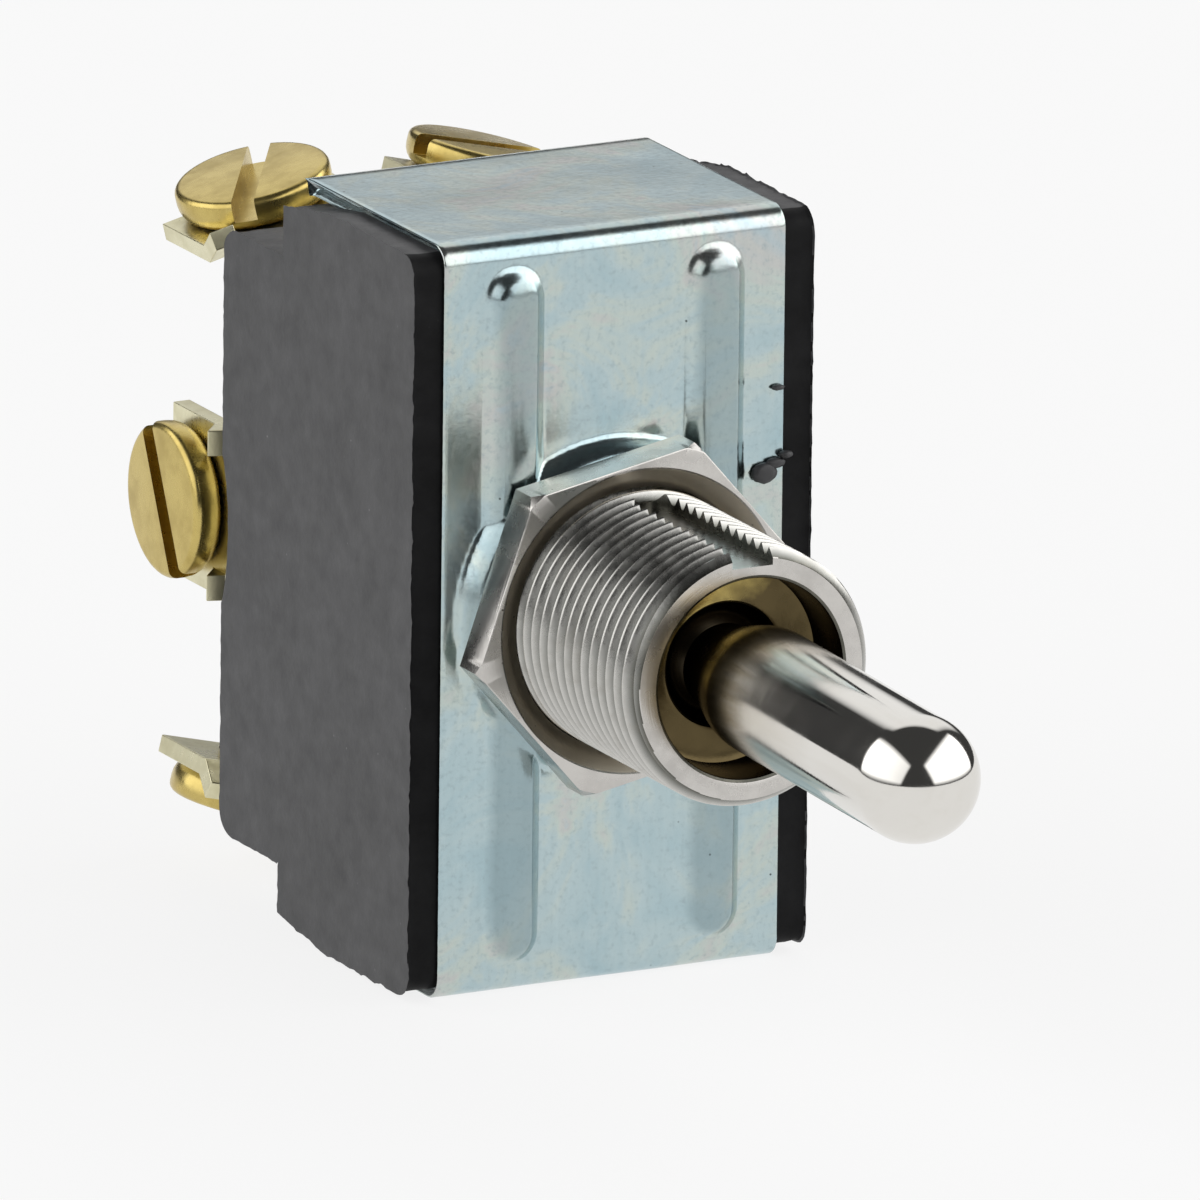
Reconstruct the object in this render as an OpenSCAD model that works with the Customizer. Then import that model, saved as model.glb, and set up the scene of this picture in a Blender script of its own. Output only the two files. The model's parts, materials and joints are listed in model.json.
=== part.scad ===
// Two-pole panel toggle switch: a sprung lever in a threaded bushing, a folded steel frame,
// a moulded case, two rocking contact arms and six screw terminals. Millimetres.
// The origin is where the bushing's axis meets the front face of the frame's plate.
// +Z is up, along the long side of the body, +X is to the right, and the lever points along -Y.

/* [Frame] */
// Width of the frame's plate
frame_w = 17; // [16.4:0.1:17.2]
// Height over the two folded flanges
frame_h = 34.6; // [34.5:0.1:35]
// Thickness of the steel sheet
sheet_t = 0.8; // [0.7:0.05:0.8]
// How far the flanges reach back from the plate's front face
flange_reach = 13.7; // [13.65:0.05:14.2]
// Outer radius of the folds
fold_r = 1; // [0.9:0.05:1.2]
// Height of the two stiffening beads
bead_h = 0.7; // [0.5:0.05:0.8]
// Width of the two stiffening beads
bead_w = 3.2; // [2.8:0.1:3.6]

/* [Case] */
// Width over the case's side cheeks
case_w = 19.9; // [19.8:0.1:21]
// Height of the cheeks beside the frame
cheek_h = 33.8; // [33.6:0.1:34]
// Where the case's rear face lies
case_rear = 18.6; // [18.4:0.1:19.4]
// Height of the narrower rear block that carries the terminals
rear_block_h = 27.8; // [27.7:0.1:28.4]

/* [Bushing and nut] */
// Outside diameter of the bushing's thread
thread_d = 11.9; // [11.8:0.02:11.9]
// Turns of the thread in one inch
thread_tpi = 32; // [28:1:32]
// How far the bushing stands out of the plate
bushing_reach = 13.4; // [12.9:0.1:14]
// Diameter of the mouth that the lever swings in
mouth_d = 9.1; // [8.8:0.1:9.4]
// Distance across the flats of the panel nut
nut_flats = 14.29; // [14.1:0.05:14.6]
// Thickness of the panel nut
nut_t = 1.9; // [1.6:0.1:2.2]
// How far a corner of the nut is turned up from the horizontal
nut_turn = 11; // [0:1:59]

/* [Lever] */
// Diameter of the lever's straight handle
handle_d = 5.8; // [5.2:0.1:6]
// How far the handle's round end stands out of the plate
lever_reach = 31.8; // [29:0.1:34]
// Swing to each side of the middle position, in degrees
lever_swing = 12; // [10:0.5:12]
// How far the lever hangs below the middle position, in degrees
lever_droop = 1.5; // [0:0.1:2]

/* [Terminals] */
// Thickness of the brass terminals
brass_t = 0.8; // [0.7:0.05:0.8]
// Width of the terminals' necks
neck_w = 5.5; // [5:0.1:5.5]
// Width of the crossbars that take the screws
bar_w = 7.9; // [7.4:0.1:8.4]
// How far the upper and lower terminals lean outwards, in degrees
splay = 14; // [12:0.1:14.5]
// How far the crossbars' front ears are bent towards the screws' heads, in degrees
ear_turn = 40; // [0:1:45]
// Diameter of the screws' heads
head_d = 7.1; // [6.6:0.1:7.2]
// Width of the screws' slots
slot_w = 1.05; // [0.8:0.05:1.2]

/* [Hidden] */
$fn = 48;
eps = 0.01;
COLUMNS = [["left", -1], ["right", 1]];
ROWS = [["upper", 1], ["centre", 0], ["lower", -1]];
ENDS = [["upper", 1], ["lower", -1]];
// how far each terminal screw's slot is turned, column by column and row by row
SLOT_TURNS = [[56, 25, 100], [6, 68, 40]];

// frame
bead_x = 5;                 // from the middle to each bead
bead_reach = 16.15;         // from the middle to each bead's round ends
boss_h = 1;                 // height of the raised ring that seats the bushing
boss_r = [7.6, 7];          // its radius at the plate and at its crest
recess_r = 6.7;             // radius of the hollow behind the ring
tab_w = 5;                  // width and height of the tabs crimped over the case
tab_h = 2.9;

// case
clearance = 0.05;
cheek_in = frame_w / 2 + 0.15;
cheek_front = 0.2;
core_h = frame_h - 2 * sheet_t - 0.1;
step_y = flange_reach - sheet_t - 0.1;
cheek_straight = 8.4;       // the cheeks keep their full height up to here
cheek_drop = 0.7;           // and lose this much by the step
cavity_w = 16.7;
front_cavity = [10.8, 28.8];    // rear end and height of the front cavity
middle_cavity_h = 26.2;
rear_cavity_h = 9.2;
divider_t = 1.4;
divider_front = 8.9;
front_corner = 0.9;
rear_corner = 1;
scallop = [3.3, 0.5];       // half length and depth of the hollow beside each middle screw
scallop_w = 2.5;            // how far it reaches in from the side

// bushing and pivot
thread_r = thread_d / 2;
thread_pitch = 25.4 / thread_tpi;
crest_w = 0.1;
root = [thread_r - 0.45, 0.17];     // radius and width of the thread's root
engaged_r = thread_r - 0.25;    // the thread's pitch radius, under the seated nut
nut_face = boss_h + nut_t;  // how far the seated nut's front face stands out of the plate
end_chamfer = 0.4;
mouth_r = mouth_d / 2;
mouth_depth = 2.67;
lip_t = 0.73;
aperture_r = 2.8;
chamber_r = 4.2;
flange_r = 6.6;
flange_rear = 0.7;
keyway = [2, 5.1, 3.2];     // width, radius of its floor, and where it runs out
pivot_y = -7.5;
ball_r = 3.7;
pin_r = 0.9;
pin_len = 9.9;
groove_reach = 5.1;
retainer = [-5.9, -4.4, 3.2];   // front, rear and bore radius of the ring behind the ball
nut_sink = [6.95, 0.55];    // radius and depth of the nut's countersink

// lever and actuator
neck_r = 1.95;
arm_r = 1.6;
handle_start = -15;
arm_end = 7.5;
actuator_front = 2.6;
actuator_depth = 4.6;
actuator_h = 3.8;
hub_r = 2.5;                // radius of the crossbar's middle, round the lever's arm
plunger_r = 1.1;
plunger_tip = 8.6;
spring_seat = 3.6;
spring_wire = 0.28;
spring_turns = 4;
plunger_back = 5.9;
stem = [0.45, 1];           // radius and length of the stem inside the spring

// rockers and contacts
contact_z = 7.2;
rocker_pivot_y = 12.2;
rocker_ratio = 0.5;         // the rockers turn half as far as the lever, the other way
rocker_w = 3.6;
strip_t = 0.8;
rocker_pin_r = 0.6;
crest_z = 3.4;              // half length of the saddle between the strip's two crests
pad_z = [5.6, 8.5];         // where the flat pads start and end
lug_t = 0.6;
lug_r = 1.25;
lug_foot = [8.6, 2.4];      // depth and half length of a lug where it leaves the strip
moving_face = 11.3;         // crest of the moving contacts while the rocker is level
moving_crown_r = 4;
moving_r = 1.2;
fixed_r = 1.3;
fixed_t = 0.5;
rivet_r = 0.7;
contact_gap = 0.04;         // left between closed contacts
ear = [1.9, 0.8, 2.2];      // from the pole's middle to the ear, its thickness and its width

// terminals
term_x = 5.55;
term_z = 13.2;
centre_x = 8.75;            // outer face of the middle terminals
bar_front = 21.9;
bar_rear = 26;
bent_ear = 1.35;            // length of the ears that keep a wire under the head
screw_y = 24.1;
screw_r = 1.7;
head_t = 1.5;
head_seat = [2.9, 0.8];     // radius of a head's underside and height of its rounded flank
head_round = 0.35;
slot_depth = 0.95;
shank_end = -2.6;

// The poles stand where the leaning terminals meet the height of the contacts.
pole_x = term_x - tan(splay) * (term_z - contact_z);
// The closed contact's crest, with the rocker at the end of its swing, sets the fixed contacts.
closed_turn = rocker_ratio * lever_swing;
closed_face = rocker_pivot_y + moving_crown_r + contact_z * sin(closed_turn)
    + (moving_face - moving_crown_r - rocker_pivot_y) * cos(closed_turn);
fixed_face = closed_face + contact_gap;
leg_front = fixed_face + fixed_t;
contact_drop = (term_z - contact_z) / cos(splay);
pad_rear = moving_face - 0.5;
pad_front = pad_rear - strip_t;
// The middle terminals' feet lie on the floor of the case.
foot_rear = 16.4;
// In a rocker's own frame the plunger's round tip runs along an arc; the saddle follows it.
tip_path_r = 5.6;
saddle_r = tip_path_r + plunger_r + clearance;
saddle_y = plunger_tip - plunger_r - tip_path_r;

// ---- helpers ----

// Points along an arc around a centre, from one angle to another.
function arc(centre, r, from, to, steps = 8) =
    [for (i = [0:steps]) centre + r * [cos(from + (to - from) * i / steps),
                                       sin(from + (to - from) * i / steps)]];

// Radius of the circle through a bump's two feet and its crest.
function bump_r(half_w, h) = (half_w * half_w + h * h) / (2 * h);

// Extrudes a side profile, drawn with Y to the right and Z upwards, across the width.
module across(w) rotate([90, 0, 90]) linear_extrude(w, center = true) children();

// Revolves a profile of [radius, y] points about the Y axis.
module turned() rotate([-90, 0, 0]) rotate_extrude() children();

module disc_y(r, y0, y1) translate([0, y0, 0]) rotate([-90, 0, 0]) cylinder(r = r, h = y1 - y0);

module rod_x(r, len) rotate([0, 90, 0]) cylinder(r = r, h = len, center = true);

// A block given by its lowest and highest corners.
module block(low, high) translate(low) cube(high - low);

// Repeats a shape on both sides, left and right.
module both_sides() for (flip = [0, 1]) mirror([flip, 0, 0]) children();

// Carries a shape from the lever's own straight frame to where the lever hangs at rest.
module lever_at_rest()
    translate([0, pivot_y, 0]) rotate([lever_droop, 0, 0]) translate([0, -pivot_y, 0]) children();

// Carries a shape from a level rocker to where the rocker stands at rest.
module rocker_at_rest(s)
    translate([s * pole_x, rocker_pivot_y, 0]) rotate([-rocker_ratio * lever_droop, 0, 0])
        translate([0, -rocker_pivot_y, 0]) children();

// Carries a terminal's local frame to its place: local z = 0 is the face that the screw's head
// looks at, and local y keeps the depth. Upper and lower ones lean out; middle ones stand on edge.
module terminal_place(s, row) {
    if (row == 0)
        translate([s * centre_x, 0, 0]) rotate([0, s * 90, 0]) children();
    else
        mirror([0, 0, row < 0 ? 1 : 0])
            translate([s * term_x, 0, term_z]) rotate([0, s * splay, 0]) children();
}

// ---- frame and case ----

// Side outline whose two front corners are rounded.
module front_rounded(y0, y1, h, r)
    polygon(concat(
        arc([y0 + r, -h / 2 + r], r, 180, 270),
        [[y1, -h / 2], [y1, h / 2]],
        arc([y0 + r, h / 2 - r], r, 90, 180)));

// A round-ended bead's full form, of which only the crest stands out of the plate.
module bead_form(r) {
    crown = bump_r(bead_w / 2, bead_h);
    half_len = bead_reach - bead_w / 2;
    translate([0, crown - bead_h, 0]) {
        cylinder(r = r, h = 2 * half_len, center = true);
        for (s = [-1, 1]) translate([0, 0, s * half_len]) sphere(r = r);
    }
}

module frame() color([0.66, 0.70, 0.70]) {
    crown = bump_r(bead_w / 2, bead_h);
    difference() {
        union() {
            across(frame_w) difference() {
                front_rounded(0, flange_reach, frame_h, fold_r);
                front_rounded(sheet_t, flange_reach + 1, frame_h - 2 * sheet_t, fold_r - sheet_t);
            }
            intersection() {
                both_sides() translate([bead_x, 0, 0]) bead_form(crown);
                block([-frame_w / 2, -2, -20], [frame_w / 2, sheet_t / 2, 20]);
            }
            rotate([90, 0, 0]) cylinder(h = boss_h, r1 = boss_r[0], r2 = boss_r[1]);
            // tabs crimped over the step of the case
            for (s = [-1, 1]) translate([0, flange_reach - sheet_t / 2, s * (frame_h - tab_h) / 2])
                cube([tab_w, sheet_t, tab_h], center = true);
        }
        intersection() {
            both_sides() translate([bead_x, 0, 0]) bead_form(crown - sheet_t);
            block([-frame_w / 2, -2, -20], [frame_w / 2, sheet_t + 1, 20]);
        }
        disc_y(recess_r, sheet_t - boss_h, sheet_t + 1);
        disc_y(thread_r + clearance, -boss_h - 1, 1);
    }
}

// Side outline of the case's cheeks: full height in front, a slight drop, then the rear block.
module cheek_outline() {
    top = cheek_h / 2;
    block_top = rear_block_h / 2;
    upper = concat(
        arc([cheek_front + front_corner, top - front_corner], front_corner, 180, 90, 5),
        [[cheek_straight, top], [step_y, top - cheek_drop], [step_y, block_top]],
        arc([case_rear - rear_corner, block_top - rear_corner], rear_corner, 90, 0, 5));
    lower = [for (i = [len(upper) - 1:-1:0]) [upper[i][0], -upper[i][1]]];
    polygon(concat(upper, lower));
}

// The opening that one terminal's plate slides into, from the given depth to the rear face.
module terminal_slot(front) {
    half = neck_w / 2 + clearance;
    block([-half, front, -brass_t - clearance], [half, case_rear + 1, clearance]);
}

// One centred cavity, from the given depth to the next.
module cavity(y0, y1, h) block([-cavity_w / 2, y0, -h / 2], [cavity_w / 2, y1, h / 2]);

module case() color([0.12, 0.12, 0.125]) {
    cheek_t = case_w / 2 - cheek_in;
    scallop_r = bump_r(scallop[0], scallop[1]);
    difference() {
        union() {
            both_sides() translate([cheek_in + cheek_t / 2, 0, 0]) across(cheek_t) cheek_outline();
            across(2 * cheek_in) intersection() {
                cheek_outline();
                front_rounded(sheet_t, case_rear + 1, core_h, 0.3);
            }
        }
        cavity(0, front_cavity[0], front_cavity[1]);
        cavity(0, leg_front + brass_t, middle_cavity_h);
        cavity(0, foot_rear, rear_cavity_h);
        for (c = COLUMNS, r = ROWS)
            terminal_place(c[1], r[1]) terminal_slot(r[1] == 0 ? 0 : front_cavity[0] - eps);
        both_sides() translate([case_w / 2, case_rear - scallop[1] + scallop_r, 0])
            rod_x(scallop_r, 2 * scallop_w);
    }
    // wall between the two poles
    block([-divider_t / 2, divider_front, -middle_cavity_h / 2 - 0.2],
          [divider_t / 2, foot_rear + 0.2, middle_cavity_h / 2 + 0.2]);
}

// ---- bushing and nut ----

module bushing() color([0.72, 0.71, 0.68]) {
    end_y = -bushing_reach;
    shoulder_y = end_y + mouth_depth;
    first_y = end_y + end_chamfer + crest_w;
    thread_end = -nut_face - clearance;
    grooves = floor((thread_end - first_y) / thread_pitch);
    flank = (thread_pitch - crest_w - root[1]) / 2;
    difference() {
        turned() polygon(concat(
            [[mouth_r, end_y], [thread_r - end_chamfer, end_y], [thread_r, end_y + end_chamfer]],
            // each turn of the thread is a ring groove of its true form
            [for (i = [0:grooves - 1], p = [[thread_r, 0], [root[0], flank], [root[0], flank + root[1]],
                                            [thread_r, thread_pitch - crest_w]])
                [p[0], first_y + i * thread_pitch + p[1]]],
            [[thread_r, thread_end], [engaged_r, thread_end],
             [engaged_r, sheet_t - boss_h], [flange_r, sheet_t - boss_h], [flange_r, flange_rear],
             [chamber_r, flange_rear], [chamber_r, shoulder_y + lip_t],
             [aperture_r, shoulder_y + lip_t], [aperture_r, shoulder_y + 0.2],
             [aperture_r + 0.2, shoulder_y], [mouth_r, shoulder_y]]));
        // keyway for a locating washer, milled in from the end
        block([-keyway[0] / 2, end_y - 1, keyway[1]],
              [keyway[0] / 2, -keyway[2] - keyway[0] / 2, thread_r + 1]);
        translate([0, -keyway[2] - keyway[0] / 2, keyway[1]]) cylinder(d = keyway[0], h = 2);
        // grooves that the pivot pin's ends turn in, open to the rear
        both_sides() {
            translate([groove_reach / 2, pivot_y, 0]) rod_x(pin_r + clearance, groove_reach);
            block([0, pivot_y, -pin_r - clearance],
                  [groove_reach, flange_rear + 1, pin_r + clearance]);
        }
    }
}

// Ring pressed in behind the ball: it cups the ball, and its lugs hold the pin in the grooves.
module pivot_retainer() color([0.55, 0.45, 0.22]) difference() {
    union() {
        disc_y(chamber_r, retainer[0], retainer[1]);
        block([-groove_reach + clearance, retainer[0] - 0.5, -pin_r],
              [groove_reach - clearance, retainer[1], pin_r]);
    }
    disc_y(retainer[2], retainer[0] - 1, retainer[1] + 1);
    translate([0, pivot_y, 0]) sphere(r = ball_r + clearance);
    translate([0, pivot_y, 0]) rod_x(pin_r + clearance, 2 * groove_reach + 1);
}

module hex_nut() color([0.70, 0.70, 0.67]) {
    corner_r = nut_flats / 2 / cos(30);
    front_r = corner_r - 0.25;      // the corners are chamfered down to this on the front face
    bore_r = thread_r + clearance;
    translate([0, -boss_h, 0]) rotate([90, 0, 0]) difference() {
        intersection() {
            rotate([0, 0, nut_turn]) cylinder(r = corner_r, h = nut_t, $fn = 6);
            cylinder(h = nut_t, r1 = front_r + nut_t, r2 = front_r);
        }
        cylinder(r = bore_r, h = 3 * nut_t, center = true);
        translate([0, 0, nut_t - nut_sink[1]])
            cylinder(h = nut_sink[1] + eps, r1 = bore_r, r2 = nut_sink[0] + eps);
    }
}

// ---- lever and actuator ----

module lever() color([0.78, 0.77, 0.75]) {
    handle_r = handle_d / 2;
    tip_y = -lever_reach + handle_r;
    neck_y = pivot_y - sqrt(ball_r * ball_r - neck_r * neck_r);
    flare = [for (i = [0:10]) [neck_r + (handle_r - neck_r) * (1 - cos(18 * i)) / 2,
                               neck_y + (handle_start - neck_y) * i / 10]];
    lever_at_rest() difference() {
        turned() polygon(concat(
            [[0, arm_end], [arm_r - 0.3, arm_end], [arm_r, arm_end - 0.3]],
            arc([0, pivot_y], ball_r, acos(arm_r / ball_r), -acos(neck_r / ball_r), 16),
            flare,
            arc([0, tip_y], handle_r, 0, -90, 10)));
        translate([0, pivot_y, 0]) rod_x(pin_r, 3 * ball_r);
    }
}

module pivot_pin() color([0.6, 0.6, 0.6])
    lever_at_rest() translate([0, pivot_y, 0]) rod_x(pin_r, pin_len);

// Insulating crossbar moulded on the lever's arm, with a bore for each plunger.
module actuator() color([0.75, 0.70, 0.55]) lever_at_rest() difference() {
    translate([0, actuator_front, 0]) rotate([-90, 0, 0]) linear_extrude(actuator_depth) {
        polygon(concat(arc([pole_x, 0], actuator_h / 2, -90, 90, 12),
                       arc([-pole_x, 0], actuator_h / 2, 90, 270, 12)));
        circle(r = hub_r);
    }
    disc_y(arm_r, 0, 10);
    both_sides() translate([pole_x, 0, 0])
        disc_y(plunger_r + clearance, spring_seat, actuator_front + actuator_depth + 1);
}

module plunger(s) color([0.80, 0.78, 0.70])
    lever_at_rest() translate([s * pole_x, 0, 0]) turned() polygon(concat(
        [[0, plunger_back - stem[1]], [stem[0], plunger_back - stem[1]],
         [stem[0], plunger_back], [plunger_r, plunger_back]],
        arc([0, plunger_tip - plunger_r], plunger_r, 0, 90, 8)));

// Coil spring: rings of points along a helix, joined into one closed skin.
module spring(s) color([0.6, 0.6, 0.58]) {
    coil_r = (plunger_r + stem[0]) / 2;
    sides = 6;
    rings = 14 * spring_turns;
    low = spring_seat + spring_wire / 2;
    rise = plunger_back - spring_seat - spring_wire;
    wire_r = spring_wire / 2;
    points = [for (i = [0:rings], k = [0:sides - 1])
        let (turn = 360 * spring_turns * i / rings, reach = coil_r + wire_r * cos(360 * k / sides))
        [reach * cos(turn), low + rise * i / rings + wire_r * sin(360 * k / sides), reach * sin(turn)]];
    skin = [for (i = [0:rings - 1], k = [0:sides - 1])
        let (a = i * sides + k, b = i * sides + (k + 1) % sides) [a, b, b + sides, a + sides]];
    start = [for (k = [sides - 1:-1:0]) k];
    finish = [for (k = [0:sides - 1]) rings * sides + k];
    lever_at_rest() translate([s * pole_x, 0, 0])
        polyhedron(points, concat(skin, [start, finish]), convexity = 6);
}

// ---- rockers and contacts ----

// Side outline of a rocker's bent strip: a saddle for the plunger between two raised crests,
// then arms that bend back to a flat pad at each end.
module strip_outline() {
    front_turn = asin(crest_z / saddle_r);
    rear_turn = asin((crest_z - 0.15) / (saddle_r + strip_t));
    pad = [[pad_front, pad_z[0]], [pad_front, pad_z[1]], [pad_rear, pad_z[1]],
           [pad_rear, pad_z[0] - 0.35]];
    polygon(concat(
        arc([saddle_y, 0], saddle_r, -front_turn, front_turn, 16),
        pad,
        arc([saddle_y, 0], saddle_r + strip_t, rear_turn, -rear_turn, 16),
        [for (i = [3:-1:0]) [pad[i][0], -pad[i][1]]]));
}

module rocker(s) color([0.72, 0.50, 0.28]) rocker_at_rest(s) difference() {
    union() {
        across(rocker_w) strip_outline();
        // side lugs that the pin passes through
        both_sides() translate([(rocker_w - lug_t) / 2, 0, 0]) across(lug_t) {
            translate([rocker_pivot_y, 0]) circle(r = lug_r);
            polygon([[saddle_y + saddle_r, 0], lug_foot, [rocker_pivot_y, lug_r],
                     [rocker_pivot_y, -lug_r], [lug_foot[0], -lug_foot[1]]]);
        }
    }
    translate([0, rocker_pivot_y, 0]) rod_x(rocker_pin_r + clearance, 2 * rocker_w);
    for (z = [-contact_z, contact_z]) translate([0, 0, z]) disc_y(rivet_r, pad_front - 1, pad_rear + 1);
}

module rocker_pin(s) color([0.6, 0.6, 0.6])
    translate([s * pole_x, rocker_pivot_y, 0]) rod_x(rocker_pin_r, 2 * (ear[0] + ear[1]) + 0.3);

// Crowned silver rivet through a rocker's pad.
module moving_contact(s, end) color([0.85, 0.85, 0.83])
    rocker_at_rest(s) translate([0, 0, end * contact_z]) turned() polygon(concat(
        [[0, pad_front - 0.3], [1, pad_front - 0.3], [1, pad_front], [rivet_r, pad_front],
         [rivet_r, pad_rear], [moving_r, pad_rear]],
        arc([0, moving_face - moving_crown_r], moving_crown_r,
            acos(moving_r / moving_crown_r), 90, 4)));

// Flat silver rivet through the inner leg of an upper or lower terminal.
module fixed_contact(s, end) color([0.85, 0.85, 0.83])
    terminal_place(s, end) translate([0, 0, -contact_drop]) turned() polygon([
        [0, fixed_face], [fixed_r - 0.15, fixed_face], [fixed_r, fixed_face + 0.15],
        [fixed_r, leg_front], [rivet_r, leg_front], [rivet_r, leg_front + brass_t],
        [0, leg_front + brass_t]]);

// ---- terminals and screws ----

// Side outline of the fold where a terminal's plate turns inwards, down to the leg's end.
module leg_outline(front, len)
    polygon(concat(
        arc([front + brass_t, -brass_t], brass_t, 180, 90, 6),
        [[front + 2 * brass_t, 0], [front + 2 * brass_t, -brass_t], [front + brass_t, -brass_t],
         [front + brass_t, -len], [front, -len]]));

// Side outline of the ear at the front of each end of a crossbar, bent towards the screw's head.
module ear_outline() {
    reach = bent_ear * [-cos(ear_turn), sin(ear_turn)];
    inner = [bar_front, 0];
    outer = [bar_front - brass_t * tan(ear_turn / 2), -brass_t];
    polygon([[bar_front + brass_t, 0], inner, inner + reach, outer + reach, outer,
             [bar_front + brass_t, -brass_t]]);
}

module terminal(s, row) color([0.80, 0.72, 0.45]) terminal_place(s, row) {
    front = row == 0 ? foot_rear - brass_t : leg_front;
    leg_len = row == 0 ? centre_x - pole_x + ear[0] + ear[1] : contact_drop + 1.6;
    difference() {
        union() {
            translate([0, 0, -brass_t]) linear_extrude(brass_t) {
                translate([-neck_w / 2, front + brass_t]) square([neck_w, bar_front - front]);
                translate([-bar_w / 2, bar_front]) square([bar_w, bar_rear - bar_front]);
            }
            for (side = [-1, 1]) translate([side * (bar_w + neck_w) / 4, 0, 0])
                across((bar_w - neck_w) / 2) ear_outline();
            across(neck_w) leg_outline(front, leg_len);
            if (row == 0) for (side = [-1, 1])
                translate([0, 0, pole_x - centre_x + side * (ear[0] + ear[1] / 2) - ear[1] / 2])
                    ear_plate();
        }
        translate([0, screw_y, -brass_t - 1]) cylinder(r = screw_r + clearance, h = brass_t + 2);
        if (row != 0) translate([0, 0, -contact_drop]) disc_y(rivet_r, front - 1, front + 2);
    }
}

// Upturned ear that carries one end of a rocker's pin.
module ear_plate() linear_extrude(ear[1]) difference() {
    union() {
        translate([0, rocker_pivot_y]) circle(d = ear[2]);
        translate([-ear[2] / 2, rocker_pivot_y]) square([ear[2], foot_rear - 0.4 - rocker_pivot_y]);
    }
    translate([0, rocker_pivot_y]) circle(r = rocker_pin_r);
}

// Slotted screw whose head narrows towards the terminal, its axis along local z.
module screw(s, row, turn) color([0.83, 0.68, 0.32])
    terminal_place(s, row) translate([0, screw_y, clearance]) {
        head_r = head_d / 2;
        difference() {
            rotate_extrude() polygon(concat(
                [[0, shank_end], [screw_r - 0.4, shank_end], [screw_r, shank_end + 0.4], [screw_r, 0]],
                [for (a = [0:18:90]) [head_seat[0] + (head_r - head_seat[0]) * sin(a),
                                      head_seat[1] * (1 - cos(a))]],
                arc([head_r - head_round, head_t - head_round], head_round, 0, 90, 5),
                [[0, head_t]]));
            translate([0, 0, head_t]) rotate([0, 0, turn])
                cube([head_d + 1, slot_w, 2 * slot_depth], center = true);
        }
    }

frame();
case();
bushing();
pivot_retainer();
hex_nut();
lever();
pivot_pin();
actuator();
for (c = COLUMNS) {
    plunger(c[1]);
    spring(c[1]);
    rocker(c[1]);
    rocker_pin(c[1]);
    for (e = ENDS) {
        moving_contact(c[1], e[1]);
        fixed_contact(c[1], e[1]);
    }
}
for (i = [0:1], k = [0:2]) {
    place = str(COLUMNS[i][0], "_", ROWS[k][0]);
    terminal(COLUMNS[i][1], ROWS[k][1]);
    screw(COLUMNS[i][1], ROWS[k][1], SLOT_TURNS[i][k]);
}
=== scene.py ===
"""Panel toggle switch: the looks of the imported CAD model.

Everything is in metres in the CAD frame: the origin is where the bushing's axis meets the front
face of the frame's plate, the lever points along -Y, and +Z is up. Sizes are written in millimetres
and multiplied by MM. The pieces come first, then the materials, the stage and the camera.
"""

import json
from math import acos, cos, hypot, pi, radians, sin, sqrt, tan

import bmesh
import bpy
from mathutils import Matrix, Vector, noise


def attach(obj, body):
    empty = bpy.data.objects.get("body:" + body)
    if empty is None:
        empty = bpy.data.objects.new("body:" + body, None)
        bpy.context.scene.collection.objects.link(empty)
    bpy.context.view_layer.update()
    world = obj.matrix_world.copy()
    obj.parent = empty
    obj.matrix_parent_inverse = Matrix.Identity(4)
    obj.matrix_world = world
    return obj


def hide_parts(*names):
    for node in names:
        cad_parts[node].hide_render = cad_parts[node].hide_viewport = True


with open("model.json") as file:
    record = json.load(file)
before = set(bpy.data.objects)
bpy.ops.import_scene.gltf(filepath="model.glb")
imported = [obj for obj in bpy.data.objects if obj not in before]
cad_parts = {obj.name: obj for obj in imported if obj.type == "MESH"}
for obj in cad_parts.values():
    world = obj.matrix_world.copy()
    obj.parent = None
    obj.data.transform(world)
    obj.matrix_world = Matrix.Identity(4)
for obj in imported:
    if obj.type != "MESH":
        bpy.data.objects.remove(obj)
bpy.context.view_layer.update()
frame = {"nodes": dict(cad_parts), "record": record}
MM = 0.001

# sizes shared by several pieces, in mm, as in the CAD source
PLATE_W, PLATE_H, SHEET = 17.0, 34.6, 0.8
FLANGE_REACH = 13.7
BEAD_X, BEAD_HALF, BEAD_FLAT, BEAD_H, BEAD_REACH = 5.0, 1.6, 0.7, 0.7, 16.15
BOSS_H = 1.0
THREAD_R, THREAD_PITCH, HOLE_R = 5.95, 25.4 / 32, 6.0
BUSHING_END = -13.4
PIVOT_Y = -7.5
DROOP = radians(1.5)
CASE_X, CHEEK_IN, CORE_X = 9.95, 8.65, 8.6
NUT_FLATS, NUT_T, NUT_TURN = 14.29, 1.9, radians(11)

COLUMNS = ("left", "right")
ROWS = ("upper", "centre", "lower")

# the studio's panels of light: azimuth, elevation, half width and half height in degrees, softness
# of the edge, and how much the light fades from one end to the other
LEFT_BOX = (-95, 29, 46, 25, 0.08, 0.35)
RIGHT_BOX = (50, 29, 46, 25, 0.08, -0.3)
BACKDROP = (152, 37.5, 24, 22, 0.10)
LEFT_LIGHT, RIGHT_LIGHT, BACK_LIGHT, ROOM_LIGHT = 1.6, 2.0, 1.0, 0.05
FLOOR_WHITE = 0.84      # share of the floor that is plain white to the camera and in mirrors


# ---------------------------------------------------------------- materials

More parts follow.
